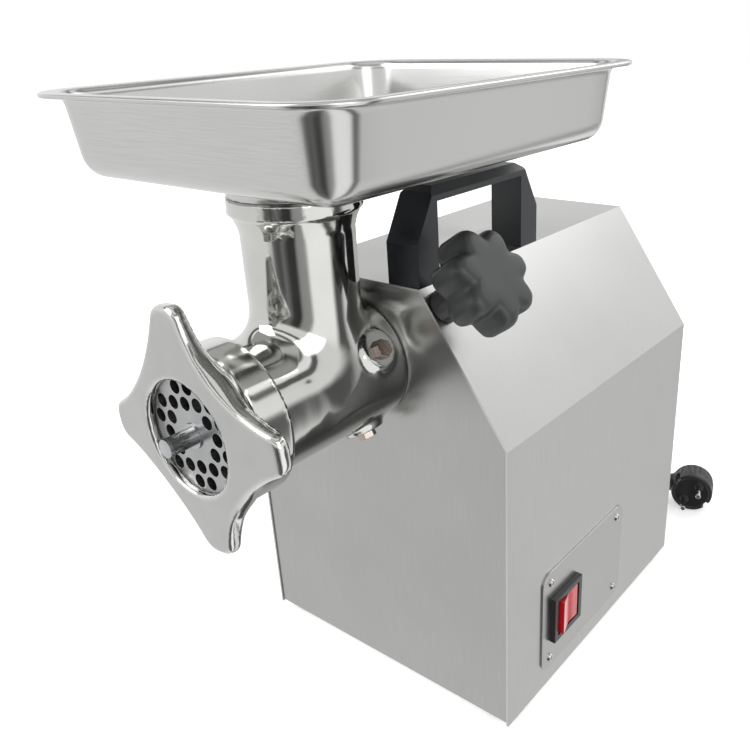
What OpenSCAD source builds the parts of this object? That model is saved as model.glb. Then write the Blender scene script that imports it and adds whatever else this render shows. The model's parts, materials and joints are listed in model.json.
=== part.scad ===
// Electric meat grinder: a sheet steel casing with a geared motor, and a cast head
// with its worm, knife, plate, star-shaped ring nut and feed tray.
// X runs to the switch side, Y runs from the outlet back to the mains lead, Z is up.

/* [Casing] */
// Width of the casing, side to side
body_w = 220; // [200:1:264]
// Depth of the casing, front to back
body_d = 247; // [240:1:296]
// Height of the casing above its own underside
body_h = 292; // [286:1:350]
// Height of the upright part of each side
side_h = 206.5; // [172:0.5:228]
// Width of each sloping shoulder
bevel_w = 59; // [49:1:64]
// Thickness of the steel sheet
sheet_t = 1.5; // [1:0.1:2]
// Height of the rubber feet
foot_h = 7; // [5:1:12]
// Radius of the rubber feet
foot_r = 10; // [8:0.5:12]
// Distance of the feet from the casing's edges
foot_inset = 16; // [14:1:24]

/* [Head] */
// Height of the worm's axis above the casing's underside
axis_h = 239.5; // [236:0.5:241]
// Outer radius of the barrel
barrel_r = 38.6; // [38.4:0.1:42]
// Distance from the casing to the front of the ring nut
reach = 130; // [122:1:156]
// Outer radius of the feed throat
throat_r = 31.4; // [28:0.2:34]
// Distance from the casing to the throat's axis
throat_y = 39.5; // [38:0.5:44]
// Height of the throat's rim above the worm's axis
throat_h = 110; // [92:0.5:124]
// Wall of the casting
cast_t = 4.2; // [3.5:0.1:5]
// Radius of the perforated plate
plate_r = 34.8; // [30:0.1:35]
// Thickness of the perforated plate
plate_t = 8; // [6:0.5:10]
// Diameter of the holes in the plate
hole_d = 7.8; // [4:0.1:8.2]
// Radius of the opening in the ring nut
outlet_r = 31.9; // [26:0.1:32.4]
// Radius of the ring nut's lobes
lobe_r = 71; // [62:1:84]
// Length of the worm's end pin in front of the ring nut
pin_out = 12; // [6:0.5:14]

/* [Tray] */
// Width of the feed tray
tray_w = 226; // [206:1:272]
// Length of the feed tray
tray_l = 274; // [228:1:329]
// Distance that the tray reaches in front of the throat's axis
tray_front = 84; // [74:1:101]
// Depth of the feed tray
tray_depth = 44.5; // [37:0.5:54]
// Thickness of the tray's sheet
tray_t = 1.2; // [1:0.1:2]

/* [Drive] */
// Module of the gears
tooth = 2; // [1.9:0.05:2.05]
// Teeth of the output gear
out_teeth = 40; // [38:1:40]
// Teeth of the pinion that drives it
lay_pinion_teeth = 16; // [16:1:16]
// Teeth of the gear on the layshaft
lay_teeth = 38; // [36:1:38]
// Teeth of the motor's pinion
motor_teeth = 14; // [14:1:14]
// Play between the teeth
backlash = 0.25; // [0.15:0.05:0.4]
// Outer radius of the motor
motor_r = 57; // [52:1:60]
// Length of the motor's laminated stack
stack_l = 78; // [60:1:82]

/* [Controls] */
// Length of the carrying handle
handle_l = 124; // [110:1:148]
// Height of the carrying handle
handle_h = 54; // [46:1:64]
// Width of the carrying handle
handle_w = 23; // [19:1:26]
// Radius of the locking knob
knob_r = 29.5; // [25:0.5:31]
// Distance from the shoulder to the knob's outer face
knob_h = 46.5; // [42:0.5:54]
// Length of the switch plate
switch_l = 114; // [96:1:136]
// Height of the switch plate
switch_h = 80; // [68:1:90]
// Side of the rocker switch's frame
rocker_frame = 36; // [32:1:40]

/* [Mains lead] */
// Diameter of the lead
cord_d = 7; // [6:0.5:8]
// Diameter of the coiled lead at the middle of its turns
coil_d = 74; // [70:1:84]
// Radius of the plug's face
plug_r = 19.5; // [18:0.5:20]

/* [Hidden] */
$fn = 96;

// running and sliding clearances
run = 0.05;
slip = 0.2;

// the casing and the worm's axis, with the ground at z = 0 and the front panel at y = 0
top_w = body_w / 2 - bevel_w;
shell_top = foot_h + body_h;
axis_z = foot_h + axis_h;
floor_z = foot_h + sheet_t;
panel_y = 1;
panel_back = panel_y + sheet_t;
front_y = -(reach + pin_out);
mid_y = (front_y + body_d) / 2;
foot_x = body_w / 2 - foot_inset;

// sloping shoulder: its outward direction and its distance from the worm's axis
slope_h = body_h - side_h;
slope_l = sqrt(slope_h * slope_h + bevel_w * bevel_w);
slope_tilt = atan2(slope_h, bevel_w);
shoulder_d = (top_w * slope_h + (body_h - axis_h) * bevel_w) / slope_l;
knob_y = 11;
knob_hub_r = 10.3;
stud_r = 5;
stud_gap = 0.15;

// gear train, below the worm's axis
lay_drop = tooth * (out_teeth + lay_pinion_teeth) / 2;
motor_drop = lay_drop + tooth * (lay_teeth + motor_teeth) / 2;
lay_z = axis_z - lay_drop;
motor_z = axis_z - motor_drop;
out_gear_y = 44;
out_gear_w = 15;
lay_gear_y = 63;
lay_gear_w = 13;

// gearbox: nose round the head's neck, cavity, cover
neck_r = 26;
neck_l = 27;
nose_r = 36;
nose_y = panel_back + 0.2;
wall_y = 30;
cavity_y = 42;
cover_y = 80;
cover_t = 10;
case_t = 4.5;
case_gap = 3;
case_top_r = tooth * (out_teeth / 2 + 1) + case_gap;
case_mid_r = tooth * (lay_teeth / 2 + 1) + case_gap;
case_low_w = 20;
case_bottom = motor_drop + 22;
bolt_r = 2.4;
bolt_head = 3.4;

// shafts and bearings
out_shaft_r = 12.5;
out_bearing_r = 23.5;
bearing_w = 10;
shaft_r = 8;
bearing_r = 17;
tang = 14;
tang_l = 20;

// motor, behind the cover
bell_y = cover_y + cover_t;
bell_t = 6;
bell_rim = 12;
stack_y = bell_y + bell_t + bell_rim;
stack_end = stack_y + stack_l;
bell_end = stack_end + bell_rim + bell_t;
rotor_r = 31.7;
air_gap = 0.5;
tie_r = motor_r - 4;
fan_y = bell_end + 3;
fan_w = 12;

// head: barrel, chamber, plate and ring nut
lip_t = 5;
plate_y = -(reach - lip_t);
barrel_end = plate_y + plate_t - 3;
thread_r = barrel_r + 0.8;
thread_l = 25;
ring_bore = thread_r + slip;
ring_r = ring_bore + 4.6;
star_t = 11;
skirt_end = barrel_end + thread_l;
star_drop = 3.5;
chamber_r = min(plate_r - 1, barrel_r - cast_t);
chamber_end = -7;
head_back = panel_y - 0.2;
knife_t = 9;
knife_y = plate_y + plate_t + 0.1;
worm_pin_r = 5;
bush_r = 16;
journal_r = 12;
worm_r = chamber_r - 0.8;
worm_core_r = 12;
worm_y = knife_y + knife_t + 0.5;
worm_l = chamber_end - 1 - worm_y;
worm_turns = 2.5;
worm_journal_r = 7;
bolt_ring_y = -20;
bolt_angle = 28.5;
pad_r = barrel_r + 3.6;

// plate: rows of holes on a triangular grid, left solid round the middle
hole_step = hole_d * 1.31;
hole_turn = 9;
key_w = 3;
key_out = 1.9;

// ring nut: a four-armed star with hollow sides
star_turn = 7;
tip_half = 9;
side_mid = 45;
chord_half = (lobe_r - tip_half) / sqrt(2);
side_sag = (lobe_r + tip_half) / sqrt(2) - side_mid;
side_r = (chord_half * chord_half + side_sag * side_sag) / (2 * side_sag);

// throat and tray
throat_bore = throat_r - cast_t;
rim_z = axis_z + throat_h;
flange_t = 8;
flange_r = throat_r + 5;
tray_flange_t = 10.5;
tray_floor = rim_z + tray_flange_t;
tray_top = tray_floor + tray_depth;
tray_neck_l = 28;
tray_y = -throat_y - tray_front + tray_l / 2;
tray_corner = 34;
pan_side = 15;
pan_curve = 14;
pan_lip = 9;

// controls on the casing
handle_x = top_w - handle_w / 2 - 0.5;
handle_y = 1;
handle_leg = 19;
handle_bar = 8;
handle_bevel = 15;
switch_y = 97;
switch_z = foot_h + 54.5;
switch_t = 1.2;
switch_inset_y = 10;
switch_inset_z = 8.5;
rocker_y = 68;
rocker_w = 26;
rocker_h = 27;
rocker_tilt = 8;
rocker_pivot = body_w / 2 + 1;
pivot_r = 2;

// mains lead: exit, route on to the top of the coil, route from its lowest turn to the plug
gland_x = 2;
gland_z = foot_h + 30;
gland_r = 9;
relief_l = 30;
coil_x = -35;
coil_y = 302;
coil_turns = 6;
coil_edge = coil_d / 2;
coil_h = coil_turns / 2 * cord_d;
lead_in = [[2, 281, 37], [2, 286, 37], [2, 291, 36.5], [2, 297, 35], [2, 302, 33.5], [1, 310, 30],
  [-2, 317.5, 26.5], [-7, 324, 23], [-13, 329, 20], [-18.5, 332, 18]];
lead_out = [[5, 287, 4.5], [10, 293, 6], [15.5, 299, 8], [21.5, 304.5, 11], [27.5, 309, 13.5],
  [34, 313.5, 16.5], [42, 317.5, 18.5], [51, 321, 19.5], [58, 323.5, 19.5]];
plug_turn = 19;
plug_at = [103, 322, plug_r];
neck_x = 14;
neck_y = 16;

// ---------- helpers ----------
module place() translate([0, -mid_y, 0]) children();

module along_y(y, l, r, x = 0, z = 0) translate([x, y, z]) rotate([-90, 0, 0]) cylinder(h = l, r = r);

module bar_y(y, l, r1, r2, z = 0)
  translate([0, y, z]) rotate([-90, 0, 0]) cylinder(h = l, r1 = r1, r2 = r2);

module tube_y(y, l, r_out, r_in, x = 0, z = 0) difference() {
  along_y(y, l, r_out, x, z);
  along_y(y - 1, l + 2, r_in, x, z);
}

module slab(x, y, z, size) translate([x, y, z]) cube(size);

module profile_y(y, t) translate([0, y + t, 0]) rotate([90, 0, 0]) linear_extrude(t) children();

module rounded(w, h, r) {
  square([w - 2 * r, h], center = true);
  square([w, h - 2 * r], center = true);
  for (x = [-1, 1], y = [-1, 1]) translate([x * (w / 2 - r), y * (h / 2 - r)]) circle(r);
}

// pan head screw whose head stands on z = 0 and whose shank runs down
module screw(head_r, head_t, shank_r, shank_l) {
  difference() {
    cylinder(h = head_t, r1 = head_r, r2 = head_r * 0.75);
    for (a = [0, 90]) rotate(a) translate([-head_r * 0.5, -0.4, head_t * 0.5])
      cube([head_r, 0.8, head_t]);
  }
  translate([0, 0, -shank_l]) cylinder(h = shank_l, r = shank_r);
}

module hex_bolt(across, head_t, shank_r, shank_l) {
  cylinder(h = head_t, r = across / sqrt(3), $fn = 6);
  translate([0, 0, -shank_l]) cylinder(h = shank_l, r = shank_r);
}

// outline of the casing, shrunk by a margin square to each sheet
module casing_outline(m = 0) {
  side_x = body_w / 2 - m;
  side_z = foot_h + side_h - m * (slope_l - slope_h) / bevel_w;
  top_x = top_w - m * (slope_l - bevel_w) / slope_h;
  polygon([[-side_x, foot_h + m], [side_x, foot_h + m], [side_x, side_z], [top_x, shell_top - m],
    [-top_x, shell_top - m], [-side_x, side_z]]);
}

// from the worm's axis outwards, square to the shoulder on the switch side
module on_shoulder(h = 0)
  translate([0, knob_y, axis_z]) rotate([0, slope_tilt, 0]) translate([0, 0, h]) children();

// places on the casing where something is fixed
module at_feet() for (x = [-1, 1], y = [foot_inset, body_d - foot_inset])
  translate([x * foot_x, y, foot_h]) children();
module at_handle() for (y = [handle_leg / 2, handle_l - handle_leg / 2])
  translate([handle_x, handle_y + y, shell_top]) children();
module at_switch_plate() for (y = [-1, 1], z = [-1, 1])
  translate([body_w / 2, switch_y + y * (switch_l / 2 - switch_inset_y),
    switch_z + z * (switch_h / 2 - switch_inset_z)]) rotate([0, 90, 0]) children();
module at_panel_screws() for (x = [-1, 1], z = [0.16, 0.78])
  translate([x * (body_w / 2 - sheet_t - 9), 0, foot_h + z * side_h]) children();

// ---------- casing ----------
module base_plate() color("darkgray") place() difference() {
  union() {
    slab(-body_w / 2 + sheet_t, panel_back, foot_h,
      [body_w - 2 * sheet_t, body_d - 2 * panel_back, sheet_t]);
    for (x = [-1, 1]) translate([x * (body_w / 2 - 1.5 * sheet_t), 0, 0])
      slab(-sheet_t / 2, panel_back, foot_h, [sheet_t, body_d - 2 * panel_back, 14]);
  }
  at_feet() translate([0, 0, -1]) cylinder(h = sheet_t + 2, r = bolt_r);
  for (x = [-1, 1], i = [0:5]) translate([x * 66, 0, 0])
    slab(-14, body_d * 0.42 + i * 11, foot_h - 1, [28, 4, sheet_t + 2]);
}

module housing_shell() color("silver") place() difference() {
  profile_y(0, body_d) casing_outline();
  profile_y(-1, body_d + 2) casing_outline(sheet_t);
  slab(-body_w / 2 + sheet_t, -1, foot_h - 1, [body_w - 2 * sheet_t, body_d + 2, 2 * sheet_t + 1]);
  at_handle() translate([0, 0, -2 * sheet_t]) cylinder(h = 3 * sheet_t, r = bolt_r + slip);
  on_shoulder(shoulder_d - 3 * sheet_t) cylinder(h = 5 * sheet_t, r = stud_r + 1);
  slab(body_w / 2 - 2 * sheet_t, rocker_y - rocker_w / 2 - 3, switch_z - rocker_h / 2 - 2.5,
    [4 * sheet_t, rocker_w + 6, rocker_h + 5]);
  at_switch_plate() translate([0, 0, -6]) cylinder(h = 12, r = 1.5);
}

module front_panel() color("lightgray") place() difference() {
  profile_y(panel_y, sheet_t) casing_outline(sheet_t);
  along_y(0, 4, neck_r + 1, 0, axis_z);
}

module vent_rows() for (row = [0:6], x = [-1, 1])
  translate([x * 34, 0, foot_h + body_h * 0.36 + row * 12]) slab(-24, body_d - 6, -2, [48, 12, 4]);

module rear_panel() color("lightgray") place() difference() {
  profile_y(body_d - panel_back, sheet_t) casing_outline(sheet_t);
  vent_rows();
  along_y(body_d - 6, 12, gland_r - 2, gland_x, gland_z);
  at_panel_screws() along_y(body_d - 6, 12, 1.5);
}

module panel_brackets() color("gray") place() at_panel_screws() difference() {
  union() {
    slab(-8, body_d - panel_back - 2, -10, [16, 2, 20]);
    slab(-8, body_d - panel_back - 16, -10, [16, 14, 2]);
  }
  along_y(body_d - 12, 14, 1.5);
}

module panel_screws() color("gainsboro") place() at_panel_screws()
  translate([0, body_d - panel_y, 0]) rotate([-90, 0, 0]) screw(3.2, 1.3, 1.45, 5);

module feet() color("#1d1d1e") place() at_feet() translate([0, 0, -foot_h]) difference() {
  cylinder(h = foot_h, r1 = foot_r * 0.86, r2 = foot_r);
  translate([0, 0, -1]) cylinder(h = foot_h * 0.45 + 1, r = foot_r * 0.5);
  cylinder(h = foot_h + 1, r = bolt_r);
}

module foot_screws() color("gainsboro") place() at_feet() {
  translate([0, 0, sheet_t]) cylinder(h = 3, r = 4.6, $fn = 6);
  translate([0, 0, foot_h * -0.55]) cylinder(h = foot_h * 0.55 + sheet_t + 4.5, r = bolt_r - run);
  translate([0, 0, foot_h * -0.55 - 1.6]) cylinder(h = 1.6, r = foot_r * 0.46);
}

module carry_handle() color("#22262b") place() translate([handle_x - handle_w / 2, handle_y, shell_top])
  difference() {
    rotate([90, 0, 90]) linear_extrude(handle_w) polygon([[0, 0], [handle_l, 0],
      [handle_l, handle_h * 0.45], [handle_l - handle_bevel, handle_h - 3],
      [handle_l - handle_bevel - 5, handle_h], [handle_bevel + 5, handle_h],
      [handle_bevel, handle_h - 3], [0, handle_h * 0.45]]);
    translate([-1, handle_leg, -1])
      cube([handle_w + 2, handle_l - 2 * handle_leg, handle_h - handle_bar + 1]);
    for (x = [0, handle_w]) translate([x, -1, handle_h]) rotate([0, 45, 0])
      translate([-3.2, 0, -3.2]) cube([6.4, handle_l + 2, 6.4]);
    for (y = [handle_leg / 2, handle_l - handle_leg / 2]) translate([handle_w / 2, y, -1])
      cylinder(h = 16, r = bolt_r);
  }

module handle_screws() color("gainsboro") place() at_handle() {
  translate([0, 0, -sheet_t - 3]) cylinder(h = 3, r = 4.6, $fn = 6);
  translate([0, 0, -sheet_t - 4]) cylinder(h = sheet_t + 17, r = bolt_r - run);
}

module switch_plate() color("#b9bab8") place() difference() {
  translate([body_w / 2, switch_y, switch_z]) rotate([90, 0, 90]) linear_extrude(switch_t)
    rounded(switch_l, switch_h, 9);
  slab(body_w / 2 - 1, rocker_y - rocker_w / 2 - 2, switch_z - rocker_h / 2 - 1.5,
    [4, rocker_w + 4, rocker_h + 3]);
  at_switch_plate() translate([0, 0, -1]) cylinder(h = 4, r = 1.5);
}

module switch_plate_screws() color("gainsboro") place() at_switch_plate()
  translate([0, 0, switch_t]) screw(3.1, 1.5, 1.4, 8);

module switch_body() color("#242124") place() translate([body_w / 2, rocker_y, switch_z]) difference() {
  union() {
    translate([switch_t, -rocker_frame / 2, -rocker_frame / 2]) cube([4, rocker_frame, rocker_frame]);
    translate([-24, -rocker_w / 2 - 1.8, -rocker_h / 2 - 1.3])
      cube([24 + switch_t, rocker_w + 3.6, rocker_h + 2.6]);
    for (y = [-8, 0, 8]) translate([-33, y - 0.4, -3]) cube([9.5, 0.8, 6]);
  }
  translate([-12, -rocker_w / 2 - 0.8, -rocker_h / 2 - 0.3]) cube([24, rocker_w + 1.6, rocker_h + 0.6]);
  translate([rocker_pivot - body_w / 2, 0, 0]) cylinder(h = rocker_h + 2, r = pivot_r + run, center = true);
}

// rocker: two flat faces that meet at the pivot, whose upright pins run in the frame
module rocker() color("#b3262b") place()
  translate([rocker_pivot, rocker_y, switch_z]) rotate([0, 0, rocker_tilt]) union() {
    linear_extrude(rocker_h - 0.6, center = true) polygon([[-5, -rocker_w / 2 + 2.4],
      [5.4, -rocker_w / 2 + 1], [3.6, 0], [5.4, rocker_w / 2 - 1], [-5, rocker_w / 2 - 2.4]]);
    cylinder(h = rocker_h + 1.4, r = pivot_r, center = true);
  }

// ---------- locking knob ----------
module lock_knob() color("#3a3c3b") place() on_shoulder(shoulder_d) difference() {
  union() {
    translate([0, 0, 0.4]) cylinder(h = knob_h * 0.5, r = knob_hub_r);
    translate([0, 0, knob_h * 0.36]) cylinder(h = knob_h * 0.14, r1 = knob_hub_r, r2 = knob_r * 0.66);
    translate([0, 0, knob_h * 0.48]) intersection() {
      linear_extrude(knob_h * 0.52) union() {
        circle(r = knob_r * 0.78);
        for (i = [0:6]) rotate(i * 360 / 7) translate([knob_r * 0.74, 0]) circle(r = knob_r * 0.26);
      }
      rotate_extrude() polygon([[0, 0], [knob_r * 0.86, 0], [knob_r + 1, knob_h * 0.1],
        [knob_r + 1, knob_h * 0.42], [knob_r * 0.85, knob_h * 0.52], [0, knob_h * 0.52]]);
    }
  }
  translate([0, 0, -1]) cylinder(h = knob_h * 0.5 + 1, r = stud_r + run);
}

module lock_stud() color("gainsboro") place() on_shoulder(neck_r + stud_gap)
  cylinder(h = shoulder_d + knob_h * 0.48 - neck_r - stud_gap, r = stud_r);

// ---------- gears ----------
function inv(a) = tan(a) * 180 / PI - a;
function flank(n, r) = let (base = tooth * n / 2 * cos(20), a = r > base ? acos(base / r) : 0)
  90 / n - backlash / 2 / (tooth * n / 2) * 90 / PI + inv(20) - inv(a);
function tooth_points(n, c) = let (pitch = tooth * n / 2, root = pitch - 1.25 * tooth,
    low = max(root + 0.1, pitch * cos(20)), tip = pitch + tooth,
    rs = [for (i = [0:3]) low + (tip - low) * i / 3])
  concat([[root, c - flank(n, low)]], [for (r = rs) [r, c - flank(n, r)]],
    [for (i = [3:-1:0]) [rs[i], c + flank(n, rs[i])]], [[root, c + flank(n, low)]]);

// turn = direction of one tooth's middle
module gear(n, y, w, z, bore, turn) translate([0, y, z]) rotate([90, 0, 0]) mirror([0, 0, 1]) difference() {
  linear_extrude(w) polygon([for (i = [0:n - 1], p = tooth_points(n, turn + i * 360 / n))
    [p[0] * cos(p[1]), p[0] * sin(p[1])]]);
  translate([0, 0, -1]) cylinder(h = w + 2, r = bore);
}

// ---------- gearbox ----------
module case_outline(m) {
  translate([0, axis_z]) circle(r = case_top_r + m);
  translate([0, lay_z]) circle(r = case_mid_r + m);
  translate([-case_top_r - m, lay_z]) square([2 * (case_top_r + m), lay_drop]);
  translate([-case_low_w - m, axis_z - case_bottom - m])
    square([2 * (case_low_w + m), case_bottom - lay_drop + m]);
}

module at_case_bolts() {
  for (p = [[case_top_r, -12], [case_mid_r, 12 - lay_drop], [case_low_w, 16 - case_bottom]], s = [-1, 1])
    translate([s * (p[0] + 1 + case_t / 2), 0, axis_z + p[1]]) children();
}

module gearbox_housing() color("#8d9092") place() difference() {
  union() {
    profile_y(wall_y, cover_y - wall_y) case_outline(case_t);
    along_y(nose_y, wall_y - nose_y, nose_r, 0, axis_z);
    at_case_bolts() along_y(cover_y - 16, 16, 6);
    on_shoulder(neck_r + 2) cylinder(h = shoulder_d - neck_r - 12, r = 8);
  }
  profile_y(cavity_y, cover_y) case_outline(0);
  along_y(nose_y - 1, neck_l + 2, neck_r + run, 0, axis_z);
  along_y(nose_y, cavity_y, out_shaft_r + 5, 0, axis_z);
  along_y(wall_y + 2, cavity_y, out_bearing_r, 0, axis_z);
  along_y(cavity_y - bearing_w, bearing_w + 1, bearing_r, 0, lay_z);
  at_case_bolts() along_y(cover_y - 14, 15, bolt_r - 0.3);
  on_shoulder(neck_r - 4) cylinder(h = shoulder_d, r = stud_r + 0.08);
}

module gearbox_cover() color("#9a9d9f") place() difference() {
  union() {
    profile_y(cover_y, cover_t) case_outline(case_t);
    at_case_bolts() along_y(cover_y, cover_t, 6);
  }
  along_y(cover_y - 1, bearing_w + 1, out_bearing_r, 0, axis_z);
  along_y(cover_y - 1, bearing_w + 1, bearing_r, 0, lay_z);
  along_y(cover_y - 1, cover_t + 2, shaft_r + 3, 0, motor_z);
  at_case_bolts() along_y(cover_y - 1, cover_t + 2, bolt_r);
  at_case_bolts() along_y(cover_y + cover_t - bolt_head, bolt_head + 1, 4.4);
}

module gearbox_bolts() color("gainsboro") place() at_case_bolts()
  translate([0, cover_y + cover_t - bolt_head, 0]) rotate([-90, 0, 0])
    hex_bolt(7, bolt_head - 0.2, bolt_r - 0.4, 18);

module gearbox_stand() color("#6f7275") place() difference() {
  union() {
    slab(-26, cavity_y + 2, floor_z, [52, cover_y - cavity_y - 4, axis_z - case_bottom - case_t - floor_z]);
    slab(-44, cavity_y + 2, floor_z, [88, cover_y - cavity_y - 4, 4]);
  }
  slab(-22, cavity_y, floor_z + 4, [44, cover_y - cavity_y, axis_z - case_bottom - case_t - floor_z - 8]);
  for (x = [-35, 35]) translate([x, (cavity_y + cover_y) / 2, floor_z - 1]) cylinder(h = 6, r = bolt_r);
}

// ---------- shafts ----------
module output_shaft() color("#a9acae") place() difference() {
  union() {
    along_y(wall_y - 4, bell_y - 1 - wall_y + 4, out_shaft_r - run, 0, axis_z);
    along_y(out_gear_y + out_gear_w, 3, out_shaft_r + 2, 0, axis_z);
  }
  slab(-tang / 2 - slip / 2, wall_y - 5, axis_z - tang / 2 - slip / 2, [tang + slip, tang_l, tang + slip]);
}

module output_gear() color("#8b8e90") place()
  gear(out_teeth, out_gear_y, out_gear_w, axis_z, out_shaft_r - run, 270);

module output_bearings() color("#c5c8ca") place() for (y = [cavity_y - bearing_w, cover_y])
  tube_y(y, bearing_w, out_bearing_r, out_shaft_r, 0, axis_z);

module layshaft() color("#a9acae") place()
  along_y(cavity_y - bearing_w + 0.5, cover_y - cavity_y + 2 * bearing_w - 1, shaft_r - run, 0, lay_z);

module layshaft_gear() color("#8b8e90") place()
  gear(lay_teeth, lay_gear_y, lay_gear_w, lay_z, shaft_r - run, 270);

module layshaft_pinion() color("#9b9ea0") place()
  gear(lay_pinion_teeth, out_gear_y - 1, lay_gear_y - out_gear_y + 1, lay_z, shaft_r - run,
    90 + 180 / lay_pinion_teeth);

module shaft_bearings() color("#c5c8ca") place() {
  for (y = [cavity_y - bearing_w, cover_y]) tube_y(y, bearing_w, bearing_r, shaft_r, 0, lay_z);
  for (y = [bell_y, bell_end - bearing_w]) tube_y(y, bearing_w, bearing_r, shaft_r, 0, motor_z);
}

// ---------- motor ----------
module motor_shaft() color("#a9acae") place()
  along_y(lay_gear_y - 2, fan_y + fan_w - lay_gear_y + 4, shaft_r - run, 0, motor_z);

module motor_pinion() color("#9b9ea0") place()
  gear(motor_teeth, lay_gear_y - 1, lay_gear_w + 2, motor_z, shaft_r - run, 90 + 180 / motor_teeth);

module rotor_core() color("#7e8183") place() tube_y(stack_y, stack_l, rotor_r, shaft_r - run, 0, motor_z);

module cooling_fan() color("#2b2d2f") place()
  translate([0, fan_y, motor_z]) rotate([-90, 0, 0]) difference() {
  union() {
    cylinder(h = 2.5, r = motor_r * 0.75);
    cylinder(h = fan_w, r = shaft_r + 5);
    for (a = [0:40:320]) rotate(a) translate([shaft_r + 2, -0.9, 0])
      cube([motor_r * 0.72 - shaft_r, 1.8, fan_w]);
  }
  translate([0, 0, -1]) cylinder(h = fan_w + 2, r = shaft_r - run);
}

module at_tie() for (a = [45:90:315])
  translate([tie_r * cos(a), 0, motor_z + tie_r * sin(a)]) children();

module stator() color("#6d7072") place() difference() {
  along_y(stack_y, stack_l, motor_r, 0, motor_z);
  along_y(stack_y - 1, stack_l + 2, rotor_r + air_gap, 0, motor_z);
  at_tie() along_y(stack_y - 1, stack_l + 2, 2);
}

module windings() color("#b8733a") place() for (y = [stack_y - bell_rim + 2, stack_end])
  tube_y(y, bell_rim - 2, motor_r - 9, rotor_r + 3, 0, motor_z);

module motor_bell(y, face) difference() {
  union() {
    tube_y(y + (face > 0 ? bell_t : 0), bell_rim, motor_r, motor_r - 7.5, 0, motor_z);
    along_y(y + (face > 0 ? 0 : bell_rim), bell_t, motor_r, 0, motor_z);
    along_y(face > 0 ? y : y + bell_rim + bell_t - bearing_w, bearing_w, bearing_r + 4, 0, motor_z);
  }
  along_y(y - 1, bell_t + bell_rim + 2, bearing_r, 0, motor_z);
  at_tie() along_y(y - 1, bell_t + bell_rim + 2, 2);
}

module motor_bell_front() color("#8d9092") place() motor_bell(bell_y, 1);

module motor_bell_rear() color("#8d9092") place() motor_bell(stack_end, -1);

module motor_tie_bolts() color("gainsboro") place() at_tie() {
  along_y(bell_y, bell_end - bell_y, 1.9);
  translate([0, bell_end, 0]) rotate([-90, 0, 0]) cylinder(h = 2.6, r = 3.9, $fn = 6);
}

module motor_cradle() color("#6f7275") place() difference() {
  for (y = [stack_y + 8, stack_end - 12])
    slab(-44, y, floor_z, [88, 4, motor_z - motor_r * 0.72 - floor_z]);
  along_y(stack_y, stack_l, motor_r, 0, motor_z);
}

module start_capacitor() color("#d8d6cf") place() translate([-76, body_d * 0.78, floor_z]) {
  cylinder(h = 78, r = 19);
  for (x = [-6, 6]) translate([x - 2, -0.5, 78]) cube([4, 1, 8]);
}

module terminal_block() color("#e4e1d8") place() difference() {
  slab(-88, body_d * 0.4, floor_z, [20, 44, 16]);
  for (i = [0:3]) translate([-78, body_d * 0.4 + 7 + i * 10, floor_z + 8]) cylinder(h = 10, r = 2.6);
}

// ---------- head ----------
// rounded root between the throat and the barrel
module throat_root() translate([0, -throat_y, axis_z]) rotate_extrude() difference() {
  translate([throat_r - 1, 24]) square([9, 26]);
  translate([throat_r + 14, 50]) circle(r = 14);
  translate([throat_r + 8, 36]) square([9, 20]);
}

// the fourth place in the ring is under the throat and has no bolt
module at_head_bolts() for (a = [0:90:180])
  translate([0, bolt_ring_y, axis_z]) rotate([0, 90 - bolt_angle + a, 0]) children();

module head_casting() color("#c9cbcb") place() difference() {
  union() {
    along_y(barrel_end, head_back - barrel_end, barrel_r, 0, axis_z);
    along_y(barrel_end, thread_l, thread_r, 0, axis_z);
    along_y(head_back - 1, neck_l + 1, neck_r, 0, axis_z);
    translate([0, -throat_y, axis_z]) cylinder(h = throat_h, r = throat_r);
    translate([0, -throat_y, rim_z - flange_t]) cylinder(h = flange_t, r = flange_r);
    translate([0, -throat_y, rim_z - flange_t - 9]) cylinder(h = 9, r1 = throat_r, r2 = flange_r - 1.2);
    throat_root();
    at_head_bolts() translate([0, 0, chamber_r + 1]) cylinder(h = pad_r - chamber_r - 1, r = 12);
  }
  along_y(barrel_end - 1, chamber_end - barrel_end + 1, chamber_r, 0, axis_z);
  along_y(barrel_end - 1, plate_y + plate_t - barrel_end + 1, plate_r + slip, 0, axis_z);
  along_y(chamber_end - 1, 40, bush_r, 0, axis_z);
  translate([0, -throat_y, axis_z]) cylinder(h = throat_h + 1, r = throat_bore);
  slab(-key_w / 2 - 0.5, barrel_end - 1, axis_z - plate_r - key_out - 0.3,
    [key_w + 1, plate_y + plate_t - barrel_end + 1, 4]);
  at_head_bolts() translate([0, 0, chamber_r + 1.5]) cylinder(h = 20, r = 2.5);
}

module head_bolts() color("#d4d6d6") place() at_head_bolts()
  translate([0, 0, pad_r]) hex_bolt(10, 4, 2.4, pad_r - chamber_r - 2);

module neck_bush() color("#cfc39a") place()
  tube_y(chamber_end, head_back + neck_l - chamber_end - 3, bush_r, journal_r, 0, axis_z);

// worm: flight on a tapered core, journal, driving tang, square for the knife, plate journal, end pin
module worm() color("#c3c5c5") place() {
  translate([0, worm_y, axis_z]) rotate([-90, 0, 0])
    linear_extrude(worm_l, twist = 360 * worm_turns, slices = 60, segments = 14)
      polygon([[2, -4], for (i = [-2:2]) [worm_r * cos(i * 8), worm_r * sin(i * 8)], [2, 4]]);
  bar_y(worm_y, worm_l, worm_core_r, worm_core_r + 6, axis_z);
  along_y(chamber_end - 1.5, head_back + neck_l - chamber_end - 0.7, journal_r - run, 0, axis_z);
  slab(-tang / 2, head_back + neck_l - 3, axis_z - tang / 2, [tang, 14, tang]);
  slab(-6, knife_y - 0.05, axis_z - 6, [12, knife_t + 1, 12]);
  along_y(plate_y - 1, knife_y - plate_y + 0.95, worm_journal_r, 0, axis_z);
  along_y(front_y, knife_y - front_y + 1, worm_pin_r, 0, axis_z);
}

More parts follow.
